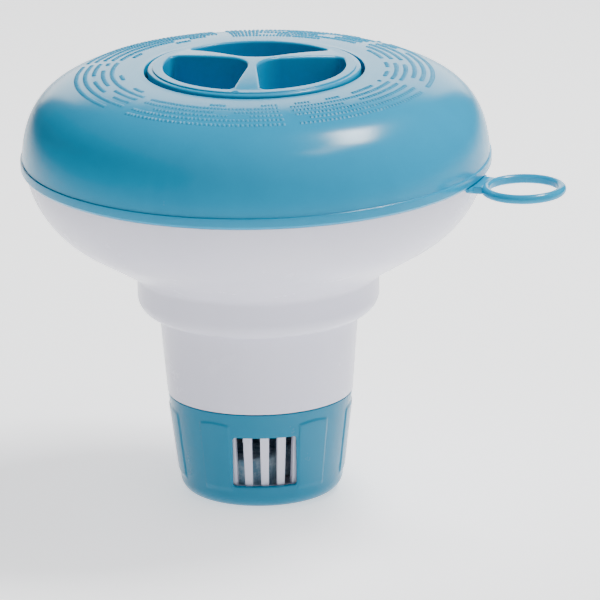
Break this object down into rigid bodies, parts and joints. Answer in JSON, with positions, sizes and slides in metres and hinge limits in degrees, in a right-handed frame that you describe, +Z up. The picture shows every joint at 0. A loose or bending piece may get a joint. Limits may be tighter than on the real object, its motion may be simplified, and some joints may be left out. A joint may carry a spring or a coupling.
{
  "type": "floating chlorine dispenser",
  "caption": "Round hollow float with a screw cap, a tapered tablet tube under it, a turning flow cup with windows over vent slots, and a side ring for a tether.",
  "frame": {"origin": "middle of the flow cup's flat foot, on the float's axis", "axes": "+Z up along the float's axis from the foot to the cap, +X towards the tether ring"},
  "size_m": [0.2122, 0.1786, 0.169],
  "materials": {
    "shell_blue": "glossy moulded polypropylene, cyan blue",
    "shell_white": "satin-gloss moulded polypropylene, cool white, slightly translucent",
    "cup_teal": "glossy moulded polypropylene, teal blue",
    "cap_blue": "glossy moulded polypropylene, cyan blue",
    "seal_rubber": "matt black rubber",
    "tablet_white": "chalky pressed powder, slightly eroded"
  },
  "bodies": {
    "float": {"upper_shell": "shell_blue", "neck_tube": "shell_blue", "tether_ring": "shell_blue", "lower_shell": "shell_white", "tablet_1": "tablet_white", "tablet_2": "tablet_white", "tablet_3": "tablet_white", "tablet_4": "tablet_white"},
    "flow_cup": {"flow_cup": "cup_teal"},
    "seal": {"cap_seal": "seal_rubber"},
    "cap": {"cap": "cap_blue"}
  },
  "joints": [
    {"name": "flow_cup_turn", "type": "hinge", "parent": "float", "child": "flow_cup", "pos_m": [0, 0, 0], "axis": [0, 0, 1], "range_deg": [0, 90]},
    {"name": "cap_lift", "type": "slide", "parent": "float", "child": "seal", "axis": [0, 0, 1], "range_m": [0, 0.0105]},
    {"name": "cap_turn", "type": "hinge", "parent": "seal", "child": "cap", "pos_m": [0, 0, 0.16], "axis": [0, 0, 1], "range_deg": [0, 105]}
  ],
  "couplings": [
    {"joint": "cap_lift", "follows": "cap_turn", "m_per_rad": 0.005729}
  ]
}
